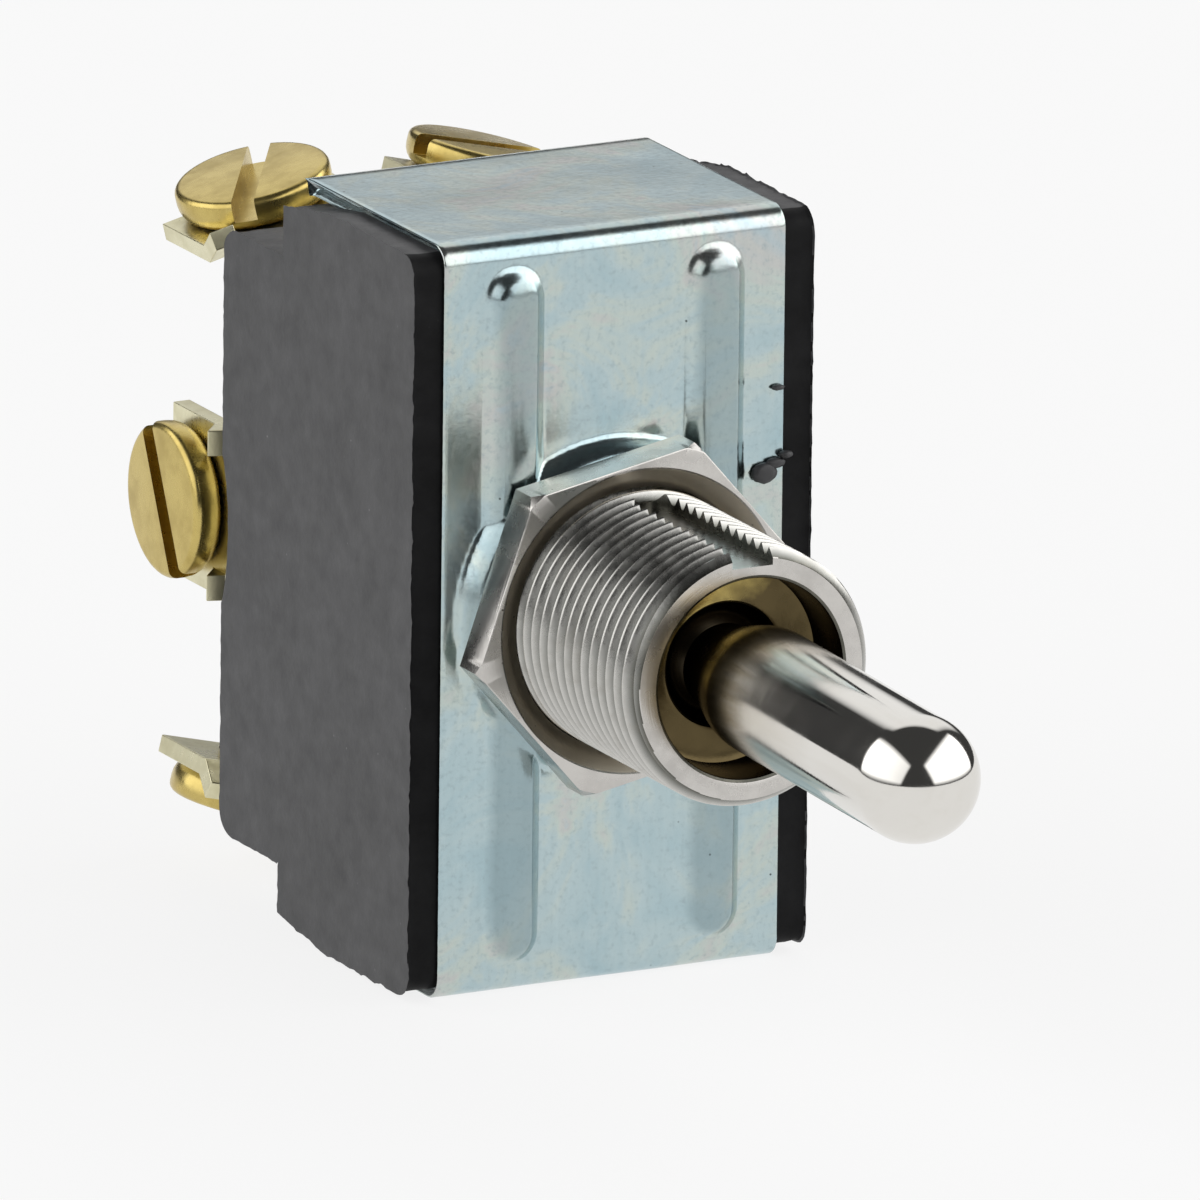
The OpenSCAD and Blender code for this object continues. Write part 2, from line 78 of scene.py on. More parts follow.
class Graph:
    """Short calls for the nodes of a material's or the world's tree."""

    def __init__(self, tree, space):
        self.tree = tree
        self.coords = self.add("ShaderNodeTexCoord").outputs[space]

    def add(self, kind, **values):
        node = self.tree.nodes.new(kind)
        for key, value in values.items():
            setattr(node, key, value)
        return node

    def link(self, a, b):
        self.tree.links.new(a, b)

    def feed(self, socket, value):
        if isinstance(value, (int, float)):
            socket.default_value = value
        elif isinstance(value, (tuple, list)):
            socket.default_value = (*value, 1.0)[: len(socket.default_value)]
        else:
            self.link(value, socket)

    def stretched(self, x, y, z):
        """The object's coordinates multiplied along each axis, for streaks."""
        node = self.add("ShaderNodeVectorMath", operation="MULTIPLY")
        self.link(self.coords, node.inputs[0])
        node.inputs[1].default_value = (x, y, z)
        return node.outputs[0]

    def noise(self, scale, detail=3.0, rough=0.55, coords=None, distortion=0.0):
        node = self.add("ShaderNodeTexNoise")
        self.link(coords or self.coords, node.inputs["Vector"])
        node.inputs["Scale"].default_value = scale
        node.inputs["Detail"].default_value = detail
        node.inputs["Roughness"].default_value = rough
        node.inputs["Distortion"].default_value = distortion
        return node.outputs["Fac"]

    def dots(self, scale, coords=None):
        """Distance to the nearest of many scattered points."""
        node = self.add("ShaderNodeTexVoronoi")
        self.link(coords or self.coords, node.inputs["Vector"])
        node.inputs["Scale"].default_value = scale
        return node.outputs["Distance"]

    def specks(self, scale, low, high, patches, detail, rare, common):
        """Scattered spots, only where a slower noise is high."""
        spots = self.span(self.dots(scale), low, high, 1.0, 0.0)
        return self.math("MULTIPLY", spots, self.span(self.noise(patches, detail), rare, common))

    def ramp(self, fac, *stops):
        """stops are (place, colour)."""
        node = self.add("ShaderNodeValToRGB")
        self.link(fac, node.inputs["Fac"])
        band = node.color_ramp.elements
        while len(band) < len(stops):
            band.new(1.0)
        for e, (place, colour) in zip(band, stops):
            e.position = place
            e.color = (*colour, 1.0)
        return node.outputs["Color"]

    def span(self, value, low, high, to_low=0.0, to_high=1.0):
        node = self.add("ShaderNodeMapRange")
        self.feed(node.inputs["Value"], value)
        limits = (("From Min", low), ("From Max", high), ("To Min", to_low), ("To Max", to_high))
        for key, limit in limits:
            node.inputs[key].default_value = limit
        return node.outputs["Result"]

    def math(self, operation, a, b=0.0):
        node = self.add("ShaderNodeMath", operation=operation)
        self.feed(node.inputs[0], a)
        self.feed(node.inputs[1], b)
        return node.outputs[0]

    def mix(self, fac, a, b, blend="MIX"):
        node = self.add("ShaderNodeMix", data_type="RGBA", blend_type=blend)
        self.feed(node.inputs[0], fac)
        self.feed(node.inputs[6], a)
        self.feed(node.inputs[7], b)
        return node.outputs[2]

    def along(self, axis):
        node = self.add("ShaderNodeSeparateXYZ")
        self.link(self.coords, node.inputs[0])
        return node.outputs["XYZ".index(axis)]

    def towards(self, direction):
        """How far the coordinates reach along a direction."""
        node = self.add("ShaderNodeVectorMath", operation="DOT_PRODUCT")
        self.link(self.coords, node.inputs[0])
        node.inputs[1].default_value = direction
        return node.outputs["Value"]

    def seen_by(self, *kinds):
        """1 for the named kinds of rays, such as Is Camera Ray."""
        path = self.add("ShaderNodeLightPath")
        seen = path.outputs[kinds[0]]
        for kind in kinds[1:]:
            seen = self.math("MAXIMUM", seen, path.outputs[kind])
        return seen


class Look(Graph):
    """Builds one procedural material."""

    def __init__(self, name, metallic=0.0, specular=0.5, coat=0.0):
        self.mat = bpy.data.materials.new(name)
        self.mat.use_nodes = True
        super().__init__(self.mat.node_tree, "Object")
        self.bsdf = self.tree.nodes["Principled BSDF"]
        self.bsdf.inputs["Metallic"].default_value = metallic
        self.bsdf.inputs["Specular IOR Level"].default_value = specular
        self.bsdf.inputs["Coat Weight"].default_value = coat

    def from_axis(self):
        """Distance from the bushing's axis, in metres."""
        flat = self.stretched(1, 0, 1)
        node = self.add("ShaderNodeVectorMath", operation="LENGTH")
        self.link(flat, node.inputs[0])
        return node.outputs["Value"]

    def bump(self, height, distance, strength=1.0, under=None):
        node = self.add("ShaderNodeBump")
        self.feed(node.inputs["Height"], height)
        node.inputs["Distance"].default_value = distance
        node.inputs["Strength"].default_value = strength
        if under is not None:
            self.link(under, node.inputs["Normal"])
        return node.outputs["Normal"]

    def done(self, colour, rough, normal=None):
        self.feed(self.bsdf.inputs["Base Color"], colour)
        self.feed(self.bsdf.inputs["Roughness"], rough)
        if normal is not None:
            self.link(normal, self.bsdf.inputs["Normal"])
        return self.mat


def zinc_plate():
    """Bluish zinc plating with a faint film of passivation colours, rolled grain and specks."""
    m = Look("zinc_plate", metallic=1.0)
    cloud = m.noise(170, 4, 0.62, distortion=0.8)
    film = m.ramp(cloud, (0.32, (0.40, 0.53, 0.57)), (0.46, (0.47, 0.58, 0.60)), (0.55, (0.54, 0.61, 0.57)),
                  (0.62, (0.56, 0.57, 0.55)), (0.70, (0.45, 0.56, 0.61)))
    rolled = m.noise(1, 3, 0.6, m.stretched(2600, 700, 260))
    film = m.mix(m.span(rolled, 0.35, 0.7, 0.0, 0.14), film, (0.30, 0.40, 0.42))
    grit = m.noise(3300, 3, 0.7)
    film = m.mix(m.span(grit, 0.52, 0.72, 0.0, 0.4), film, (0.30, 0.38, 0.40))
    # the plating is darker where the beads and the boss stand out of the plate
    height = m.math("ADD", m.along("Y"), m.span(cloud, 0.3, 0.7, -0.0001, 0.0001))
    film = m.mix(m.span(m.span(height, -0.0006, -0.0002), 0.0, 1.0, 0.55, 0.0), film, (0.22, 0.30, 0.32))
    speck = m.specks(1500, 0.04, 0.10, 700, 2, 0.60, 0.64)
    film = m.mix(speck, film, (0.04, 0.05, 0.05))
    rough = m.math("ADD", m.span(grit, 0.3, 0.7, 0.13, 0.22), m.span(cloud, 0.3, 0.8, 0.0, 0.06))
    grain = m.bump(m.noise(2600, 4, 0.7), 0.000012, 0.5)
    return m.done(film, rough, m.bump(m.noise(160, 2), 0.00016, 0.22, grain))


def sheared_steel():
    m = Look("sheared_steel", metallic=1.0)
    torn = m.noise(1, 4, 0.7, m.stretched(5200, 900, 5200))
    tint = m.ramp(torn, (0.35, (0.10, 0.11, 0.11)), (0.6, (0.42, 0.46, 0.46)))
    return m.done(tint, 0.42, m.bump(torn, 0.00004, 0.7))


def phenolic(name, dark, light, rough, specular=0.5):
    """Moulded phenolic: cloudy black with pale filler flecks."""
    m = Look(name, specular=specular)
    cloud = m.noise(260, 5, 0.65)
    tint = m.ramp(cloud, (0.32, (dark, dark, dark * 1.06)), (0.70, (light, light, light * 1.06)))
    fleck = m.specks(1900, 0.05, 0.12, 520, 3, 0.6, 0.68)
    tint = m.mix(fleck, tint, (0.20, 0.20, 0.20))
    level = m.math("ADD", m.span(m.noise(900, 4), 0.3, 0.7, *rough), m.span(fleck, 0, 1, 0, 0.2))
    fine = m.bump(m.noise(4200, 4, 0.7), 0.00002, 0.5)
    return m.done(tint, level, m.bump(m.noise(420, 3), 0.00005, 0.3, fine))


def thread_nickel():
    """Nickel on the thread: bright crests, painted shade that darkens the roots, and patches of dirt."""
    m = Look("thread_nickel", metallic=1.0)
    # painted shade: the colour falls from the nickel's own on the crests to near black in the roots
    depth = m.span(m.from_axis(), 0.00552, 0.00593)
    tint = m.ramp(depth, (0.0, (0.10, 0.10, 0.085)), (0.45, (0.30, 0.30, 0.28)), (1.0, (0.60, 0.59, 0.56)))
    grime = m.noise(420, 4, 0.7)
    tint = m.mix(m.span(grime, 0.52, 0.72, 0.0, 0.35), tint, (0.26, 0.24, 0.20))
    rough = m.span(m.noise(1400, 3), 0.3, 0.7, 0.20, 0.34)
    return m.done(tint, rough, m.bump(m.noise(3600, 4, 0.7), 0.00001, 0.5))


def turned_nickel(name="turned_nickel", tint=(0.60, 0.58, 0.55), rough=(0.20, 0.34)):
    """Satin nickel with the fine rings of turning round the bushing's axis."""
    m = Look(name, metallic=1.0)
    rings = m.add("ShaderNodeCombineXYZ")
    m.link(m.from_axis(), rings.inputs[0])
    m.link(m.along("Y"), rings.inputs[1])
    lines = m.noise(5200, 3, 0.6, rings.outputs[0])
    patch = m.noise(600, 4, 0.6)
    colour = m.mix(m.span(patch, 0.42, 0.7, 0.0, 0.45), tint, [c * 0.72 for c in tint])
    speck = m.specks(1700, 0.05, 0.11, 640, 2, 0.56, 0.62)
    colour = m.mix(speck, colour, (0.08, 0.07, 0.06))
    return m.done(colour, m.span(patch, 0.3, 0.7, *rough), m.bump(lines, 0.000014, 0.5))


def bright_nickel():
    """Polished nickel that turns oily brown down the neck and near black inside the bushing's mouth as
    painted shade, with turning marks near it.
    """
    m = Look("bright_nickel", metallic=1.0)
    # towards the pivot: oily brown, then painted shade near black inside the bushing's mouth
    grease_and_shade = m.span(m.along("Y"), -0.0245, -0.0105)
    streak = m.noise(1, 3, 0.6, m.stretched(1500, 120, 1500))
    place = m.math("ADD", grease_and_shade, m.span(streak, 0.3, 0.7, -0.05, 0.05))
    colour = m.ramp(place, (0.0, (0.74, 0.72, 0.68)), (0.45, (0.60, 0.56, 0.49)), (0.60, (0.36, 0.30, 0.20)),
                    (0.75, (0.15, 0.11, 0.05)), (0.95, (0.035, 0.028, 0.018)))
    pits = m.specks(1500, 0.04, 0.08, 700, 2, 0.6, 0.66)
    colour = m.mix(pits, colour, (0.22, 0.20, 0.17))
    rough = m.math("ADD", m.span(grease_and_shade, 0, 0.7, 0.06, 0.24), m.span(m.noise(500, 4), 0.4, 0.75, 0.0, 0.06))
    rings = m.noise(1, 3, 0.6, m.stretched(300, 5200, 300))
    height = m.math("MULTIPLY", rings, m.span(grease_and_shade, 0, 1, 0.15, 1.0))
    return m.done(colour, rough, m.bump(height, 0.00001, 0.6))


def shoulder_brass():
    """The step inside the bushing's mouth: oily brown darkened as painted shade, with a painted golden
    highlight towards its upper left.
    """
    m = Look("shoulder_brass", metallic=1.0)
    ragged = m.span(m.noise(700, 3), 0.3, 0.7, -0.0005, 0.0005)
    # painted highlight: golden towards the upper left, where the light falls on the step
    painted_highlight = m.span(m.math("ADD", m.towards((-0.6, 0.0, 0.8)), ragged), 0.0016, 0.0036)
    colour = m.mix(painted_highlight, (0.10, 0.075, 0.035), (0.58, 0.45, 0.15))
    rough = m.span(m.noise(900, 3), 0.3, 0.7, 0.16, 0.30)
    return m.done(colour, rough, m.bump(m.noise(2600, 3), 0.000012, 0.5))


def brass(name, tint, dull, rough, grain=0.000012):
    m = Look(name, metallic=1.0)
    patch = m.noise(480, 4, 0.62)
    fine = m.noise(1, 3, 0.65, m.stretched(1400, 4200, 1400))
    colour = m.mix(m.span(patch, 0.42, 0.72), tint, dull)
    spot = m.specks(1300, 0.05, 0.11, 560, 2, 0.56, 0.62)
    colour = m.mix(spot, colour, [c * 0.25 for c in dull])
    level = m.math("ADD", m.span(patch, 0.3, 0.7, rough, rough + 0.1), m.span(fine, 0.3, 0.7, 0.0, 0.07))
    return m.done(colour, level, m.bump(fine, grain, 0.5))


def fibre_board():
    m = Look("fibre_board", specular=0.4)
    strands = m.noise(1, 4, 0.7, m.stretched(700, 2500, 2500))
    colour = m.ramp(strands, (0.3, (0.30, 0.20, 0.10)), (0.7, (0.48, 0.35, 0.20)))
    return m.done(colour, m.span(strands, 0.3, 0.7, 0.5, 0.7), m.bump(strands, 0.00003, 0.5))


ZINC, SHEARED = zinc_plate(), sheared_steel()
PHENOLIC = phenolic("phenolic", 0.034, 0.054, (0.38, 0.52))
# a darker copy of the phenolic for the cheeks' front strip: painted shade where little light reaches it
SHADED_EDGE = phenolic("phenolic_edge", 0.006, 0.014, (0.50, 0.66), 0.12)
THREAD = thread_nickel()
NICKEL = turned_nickel()
# the mouth's wall: oily dark brown, darkened further as painted shade inside the mouth
BORE = turned_nickel("bushing_bore", (0.13, 0.105, 0.07), (0.22, 0.36))
LIP = shoulder_brass()
SINK = turned_nickel("nut_sink", (0.66, 0.60, 0.50), (0.34, 0.48))
CHROME = bright_nickel()
SCREW_BRASS = brass("screw_brass", (0.60, 0.47, 0.16), (0.44, 0.33, 0.10), 0.20)
TERMINAL_BRASS = brass("terminal_brass", (0.76, 0.72, 0.50), (0.58, 0.54, 0.34), 0.22)
SPRING_BRASS = brass("spring_brass", (0.66, 0.54, 0.27), (0.50, 0.40, 0.20), 0.28)
COPPER = brass("copper_alloy", (0.72, 0.45, 0.25), (0.55, 0.33, 0.18), 0.28)
SILVER = brass("contact_silver", (0.80, 0.79, 0.76), (0.62, 0.60, 0.56), 0.2)
PIN_STEEL = brass("pin_steel", (0.55, 0.55, 0.55), (0.42, 0.42, 0.42), 0.24)
BOARD = fibre_board()

FINISH = {"zinc_plate": ZINC, "phenolic": PHENOLIC, "nickel_plate": NICKEL, "bright_nickel": CHROME,
          "spring_brass": SPRING_BRASS, "pin_steel": PIN_STEEL, "fibre_board": BOARD,
          "copper_alloy": COPPER, "contact_silver": SILVER, "terminal_brass": TERMINAL_BRASS,
          "screw_brass": SCREW_BRASS}
SLOT_OF = {s["node"]: s["material_slot"] for s in frame["record"]["subparts"]}
BODY_OF = {n: body for body, members in frame["record"]["behaviour"]["bodies"].items() for n in members}


# ---------------------------------------------------------------- mesh helpers

def piece(name, mesh_or_bm, body, finish, nodes=(), sharp=32):
    """Makes an object of a mesh or a bmesh, with smooth shading between its sharp edges."""
    if isinstance(mesh_or_bm, bmesh.types.BMesh):
        mesh = bpy.data.meshes.new(name)
        mesh_or_bm.to_mesh(mesh)
        mesh_or_bm.free()
    else:
        mesh = mesh_or_bm
    obj = bpy.data.objects.new(name, mesh)
    bpy.context.scene.collection.objects.link(obj)
    for m in finish if isinstance(finish, (list, tuple)) else [finish]:
        mesh.materials.append(m)
    mesh.polygons.foreach_set("use_smooth", [True] * len(mesh.polygons))
    mesh.set_sharp_from_angle(angle=radians(sharp))
    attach(obj, body)
    if nodes:
        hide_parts(*nodes)
    return obj


def evaluated(obj):
    """Applies the object's modifiers to its mesh."""
    deps = bpy.context.evaluated_depsgraph_get()
    mesh = bpy.data.meshes.new_from_object(obj.evaluated_get(deps))
    obj.modifiers.clear()
    obj.data = mesh


def bevelled(obj, width, segments=2, angle=30):
    mod = obj.modifiers.new("edge", "BEVEL")
    mod.width = width * MM
    mod.segments = segments
    mod.limit_method = "ANGLE"
    mod.angle_limit = radians(angle)
    mod.harden_normals = True
    mod.use_clamp_overlap = True
    return obj


def add_rows(bm, rows, closed=True):
    """Joins rows of points, each row a ring or a line, with quads. Points are in mm."""
    rings = [[bm.verts.new(Vector(p) * MM) for p in row] for row in rows]
    n = len(rings[0])
    for a, b in zip(rings, rings[1:]):
        for j in range(n if closed else n - 1):
            k = (j + 1) % n
            bm.faces.new((a[j], a[k], b[k], b[j]))
    return rings


def ring(r, y, n, turn=0.0):
    return [(r * cos(turn + 2 * pi * j / n), y, r * sin(turn + 2 * pi * j / n)) for j in range(n)]


def lathe(bm, profile, n=96):
    """Revolves (radius, y) points about the Y axis."""
    return add_rows(bm, [ring(max(r, 1e-4), y, n) for r, y in profile])


def tidy(bm, dist=0.002):
    bmesh.ops.remove_doubles(bm, verts=bm.verts, dist=dist * MM)
    bmesh.ops.dissolve_degenerate(bm, dist=0.0005 * MM, edges=bm.edges)
    bmesh.ops.recalc_face_normals(bm, faces=bm.faces)


def prism(bm, outline, low, high):
    """Extrudes an outline of (x, y) points in mm from one height to another."""
    a = [bm.verts.new(Vector((x, y, low)) * MM) for x, y in outline]
    b = [bm.verts.new(Vector((x, y, high)) * MM) for x, y in outline]
    bm.faces.new(a[::-1])
    bm.faces.new(b)
    for i in range(len(a)):
        k = (i + 1) % len(a)
        bm.faces.new((a[i], a[k], b[k], b[i]))


def cut(obj, cutter_bm):
    """Subtracts a closed bmesh from the object."""
    bmesh.ops.recalc_face_normals(cutter_bm, faces=cutter_bm.faces)
    mesh = bpy.data.meshes.new("cutter")
    cutter_bm.to_mesh(mesh)
    cutter_bm.free()
    cutter = bpy.data.objects.new("cutter", mesh)
    bpy.context.scene.collection.objects.link(cutter)
    mod = obj.modifiers.new("cut", "BOOLEAN")
    mod.operation = "DIFFERENCE"
    mod.solver = "EXACT"
    mod.object = cutter
    evaluated(obj)
    bpy.data.objects.remove(cutter)
    bpy.data.meshes.remove(mesh)


def smooth_max(a, b, k):
    """The larger of two heights, with the valley between them filled over a width k."""
    h = max(k - abs(a - b), 0.0) / k
    return max(a, b) + h * h * k / 4


# ---------------------------------------------------------------- frame

def plate_relief(x, z):
    """How far the pressed beads and the ring boss stand out of the plate at a point."""
    rise = 0.0
    for s in (-1, 1):
        d = hypot(x - s * BEAD_X, max(abs(z) - (BEAD_REACH - BEAD_HALF), 0.0))
        t = min(max((d - BEAD_FLAT) / (BEAD_HALF - BEAD_FLAT), 0.0), 1.0)
        crown = BEAD_H - 0.10 * min(d / BEAD_FLAT, 1.0) ** 2
        rise = max(rise, crown * (1 - t * t * (3 - 2 * t)))
    boss = BOSS_H - smooth_max(BOSS_H - (7.72 - hypot(x, z)) * 1.75, 0.0, 0.5)
    return min(smooth_max(rise, boss, 0.22), BOSS_H)


def frame_profile():
    """Points down the outer skin, from the top flange's rear edge to the bottom one's: (y, z, normal)."""
    fold, half = 1.0, PLATE_H / 2
    top = [(FLANGE_REACH + (fold - FLANGE_REACH) * i / 30, half, (0, 1)) for i in range(31)]
    bend = [(fold - fold * sin(a), half - fold + fold * cos(a), (-sin(a), cos(a)))
            for a in (pi / 2 * i / 12 for i in range(1, 12))]
    flat_half = half - fold
    n = 204
    plate = [(0.0, flat_half - 2 * flat_half * i / n, (-1, 0)) for i in range(n + 1)]
    lower = [(y, -z, (ny, -nz)) for y, z, (ny, nz) in (top + bend)[::-1]]
    return top + bend + plate + lower


def make_frame():
    half_w = PLATE_W / 2
    lip = [0.0, 0.03, 0.09]
    coarse, fine = 0.2, 0.085
    # columns across the plate, close together at its edges and on the beads' slopes
    xs = [-half_w + e for e in lip]
    while xs[-1] < half_w - 0.3:
        off = abs(abs(xs[-1]) - BEAD_X)
        xs.append(xs[-1] + (fine if BEAD_FLAT - 0.1 < off < BEAD_HALF + 0.1 else coarse))
    xs += [half_w - e for e in lip[::-1]]
    bm = bmesh.new()
    rows = []
    rounding = 0.09
    for i, (y, z, (ny, nz)) in enumerate(frame_profile()):
        row = []
        for x in xs:
            rise = plate_relief(x, z) if ny == -1 and y == 0 else 0.0
            edge = min(half_w - abs(x), abs(FLANGE_REACH - y) if y > 1 else 9.0)
            sink = rounding - sqrt(max(rounding ** 2 - max(rounding - edge, 0.0) ** 2, 0.0))
            wave = 0.025 * noise.noise(Vector((x * 0.16, y * 0.2, z * 0.16 + 3)))
            burr = 0.02 * noise.noise(Vector((0, y * 3, z * 3))) if edge < 0.01 else 0.0
            out = rise - sink + wave * min(edge / 2, 1.0)
            row.append((x + burr, y + ny * out, z + nz * (out if ny != -1 or y else 0.0)))
        rows.append(row)
    rings = add_rows(bm, rows, closed=False)
    # the round hole for the bushing: the plate's faces inside it go, and its rim's points move
    # onto the circle
    plate_back = 0.5 * MM
    gone = []
    for face in bm.faces:
        middle = face.calc_center_median()
        if middle.y < plate_back and hypot(middle.x, middle.z) < HOLE_R * MM:
            gone.append(face)
    bmesh.ops.delete(bm, geom=gone, context="FACES")
    for v in bm.verts:
        r = hypot(v.co.x, v.co.z)
        if v.is_boundary and r < (HOLE_R + 0.4) * MM and v.co.y < plate_back:
            v.co.x *= HOLE_R * MM / r
            v.co.z *= HOLE_R * MM / r
            v.co.y = -BOSS_H * MM
    bmesh.ops.recalc_face_normals(bm, faces=bm.faces)
    obj = piece("frame_folded", bm, "housing", [ZINC, SHEARED], ["frame"], 50)
    mod = obj.modifiers.new("sheet", "SOLIDIFY")
    mod.thickness = SHEET * MM
    mod.offset = -1
    mod.use_even_offset = False
    mod.material_offset_rim = 1
    evaluated(obj)
    # tabs crimped over the step of the case
    for s in (-1, 1):
        tb = bmesh.new()
        z0, z1 = s * (PLATE_H / 2 - 2.9), s * (PLATE_H / 2 - 0.35)
        half, inner, outer = 2.5, FLANGE_REACH - SHEET, FLANGE_REACH - 0.02
        prism(tb, [(-half, inner), (half, inner), (half, outer), (-half, outer)],
              min(z0, z1), max(z0, z1))
        name = f"frame_tab_{'upper' if s > 0 else 'lower'}"
        bevelled(piece(name, tb, "housing", ZINC), 0.12, 3)


# ---------------------------------------------------------------- bushing and nut

def helical_thread(bm, n, rear, end):
    """A right-handed thread as one skin from a ring at the rear to a ring at the front."""
    form = [(0.00, 5.93), (0.05, 5.95), (0.10, 5.93), (0.14, 5.89), (0.42, 5.54),
            (0.50, 5.50), (0.58, 5.50), (0.66, 5.54), (0.93, 5.86), (0.97, 5.91)]
    per = len(form)
    turns = int((rear - end) / THREAD_PITCH) + 4
    first = rear + 2 * THREAD_PITCH

    def point(k, j):
        u, r = form[k % per]
        y = first - THREAD_PITCH * (k // per + u + j / n)
        if y >= rear:
            y, r = rear, THREAD_R
        elif y <= end:
            y, r = end, 5.5
        else:
            r = max(min(r, 5.5 + (y - end) * 1.1), 5.5)
        a = 2 * pi * j / n
        return (r * cos(a), y, r * sin(a))

    # column n of one row is column 0 of the row one turn further on
    grid = [[bm.verts.new(Vector(point(k, j)) * MM) for j in range(n + 1)] for k in range(turns * per)]
    for k in range(len(grid) - 1):
        for j in range(n):
            bm.faces.new((grid[k][j], grid[k][j + 1], grid[k + 1][j + 1], grid[k + 1][j]))


def make_bushing_piece():
    n, end, rear = 216, BUSHING_END, -0.95
    bm = bmesh.new()
    helical_thread(bm, n, rear, end)
    bmesh.ops.remove_doubles(bm, verts=bm.verts, dist=0.001 * MM)
    shoulder = end + 2.67
    lathe(bm, [(5.5, end), (4.72, end), (4.60, end + 0.05), (4.55, end + 0.15), (4.55, shoulder - 0.35),
               (4.45, shoulder - 0.08), (4.2, shoulder), (3.05, shoulder + 0.05), (2.9, shoulder + 0.02),
               (2.8, shoulder + 0.12), (2.8, shoulder + 0.73), (4.2, shoulder + 0.73), (4.2, 0.7),
               (6.6, 0.7), (6.6, -0.2), (THREAD_R, -0.2), (THREAD_R, rear)], n)
    tidy(bm)
    obj = piece("bushing_threaded", bm, "housing", [THREAD, NICKEL, BORE, LIP], ["bushing"])
    keyway = bmesh.new()
    mouth = [(-1.0, end - 1), (1.0, end - 1)]
    round_end = [(cos(a), -4.2 + sin(a)) for a in (pi * i / 16 for i in range(17))]
    prism(keyway, mouth + round_end, 5.1, 7.0)
    cut(obj, keyway)
    mesh = obj.data
    for p in mesh.polygons:
        c = p.center / MM
        r = hypot(c.x, c.z)
        front_face = c.y < end + 0.02
        keyway_floor = 5.0 < c.z < 5.2 and abs(c.x) < 1.01 and r > 5.0 and c.y < -3.2
        if front_face or keyway_floor:
            p.material_index = 1
        elif r < 4.62 and c.y < shoulder - 0.1:     # the mouth's wall
            p.material_index = 2
        elif r < 4.6 and c.y < -9:                  # the step inside it
            p.material_index = 3
    mesh.polygons.foreach_set("use_smooth", [True] * len(mesh.polygons))
    mesh.set_sharp_from_angle(angle=radians(28))


def make_nut():
    corner_r = NUT_FLATS / 2 / cos(pi / 6)
    crest = corner_r - 0.25
    n = 360
    front, back = -BOSS_H - NUT_T, -BOSS_H
    angles = [NUT_TURN + 2 * pi * j / n for j in range(n)]

    def flats(a):
        b = (a - NUT_TURN) % (pi / 3) - pi / 6
        return NUT_FLATS / 2 / cos(b)

    def row(radius, y):
        return [(radius(a) * cos(a), y(a), radius(a) * sin(a)) for a in angles]

    bm = bmesh.new()
    rows = [
        row(lambda a: 6.0, lambda a: back),
        row(lambda a: 6.0, lambda a: front + 0.55),
        row(lambda a: 6.93, lambda a: front + 0.03),
        row(lambda a: 7.0, lambda a: front),
        row(lambda a: min(flats(a), crest) - 0.06, lambda a: front),
        row(lambda a: min(flats(a), crest) - 0.01, lambda a: front + 0.02),
        row(lambda a: flats(a), lambda a: front + 0.06 + max(flats(a) - crest, 0.0) * 1.15),
        row(lambda a: flats(a), lambda a: back - 0.08),
        row(lambda a: flats(a) - 0.08, lambda a: back),
    ]
    add_rows(bm, rows + rows[:1])
    tidy(bm)
    obj = piece("nut_hex", bm, "panel_nut", [NICKEL, SINK], ["hex_nut"], 22)
    for p in obj.data.polygons:
        c = p.center / MM
        if hypot(c.x, c.z) < 6.9 and c.y < back - 0.2:
            p.material_index = 1


# ---------------------------------------------------------------- lever

def make_lever():
    handle_r, neck_r, ball_r = 2.9, 1.95, 3.7
    tip = -31.8 + handle_r
    neck_y = PIVOT_Y - sqrt(ball_r ** 2 - neck_r ** 2)
    start = -15.0
    profile = [(0.0, 7.5), (1.3, 7.5), (1.6, 7.2), (1.6, -4.2)]
    a0, a1 = acos(1.6 / ball_r), -acos(neck_r / ball_r)
    profile += [(ball_r * cos(a), PIVOT_Y + ball_r * sin(a))
                for a in (a0 + (a1 - a0) * i / 24 for i in range(25))]
    profile += [(neck_r + (handle_r - neck_r) * (1 - cos(pi * i / 30)) / 2,
                 neck_y + (start - neck_y) * i / 30) for i in range(1, 31)]
    profile += [(handle_r, start + (tip - start) * i / 24) for i in range(1, 25)]
    profile += [(handle_r * cos(a), tip - handle_r * sin(a))
                for a in (pi / 2 * i / 32 for i in range(1, 33))]
    bm = bmesh.new()
    lathe(bm, profile, 144)
    tidy(bm)
    pivot = Matrix.Translation((0, PIVOT_Y * MM, 0))
    bm.transform(pivot @ Matrix.Rotation(DROOP, 4, "X") @ pivot.inverted())
    piece("lever_polished", bm, "lever_arm", CHROME, ["lever"], 40)


# ---------------------------------------------------------------- case

def cheek_points():
    """The cheeks' side outline as (y, z), finely divided, with the front corners rounded."""
    top, block, rear, step = 16.9, 13.9, 18.6, 12.8
    upper = [(1.1 - 0.9 * cos(a), top - 0.9 + 0.9 * sin(a)) for a in (pi / 2 * i / 6 for i in range(7))]
    upper += [(8.4, top), (step, top - 0.7), (step, block)]
    upper += [(rear - 1 + sin(a), block - 1 + cos(a)) for a in (pi / 2 * i / 6 for i in range(7))]
    corners = upper + [(y, -z) for y, z in upper[::-1]]
    out = []
    for (y0, z0), (y1, z1) in zip(corners, corners[1:] + corners[:1]):
        steps = max(1, round(hypot(y1 - y0, z1 - z0) / 0.22))
        out += [(y0 + (y1 - y0) * i / steps, z0 + (z1 - z0) * i / steps) for i in range(steps)]
    return out


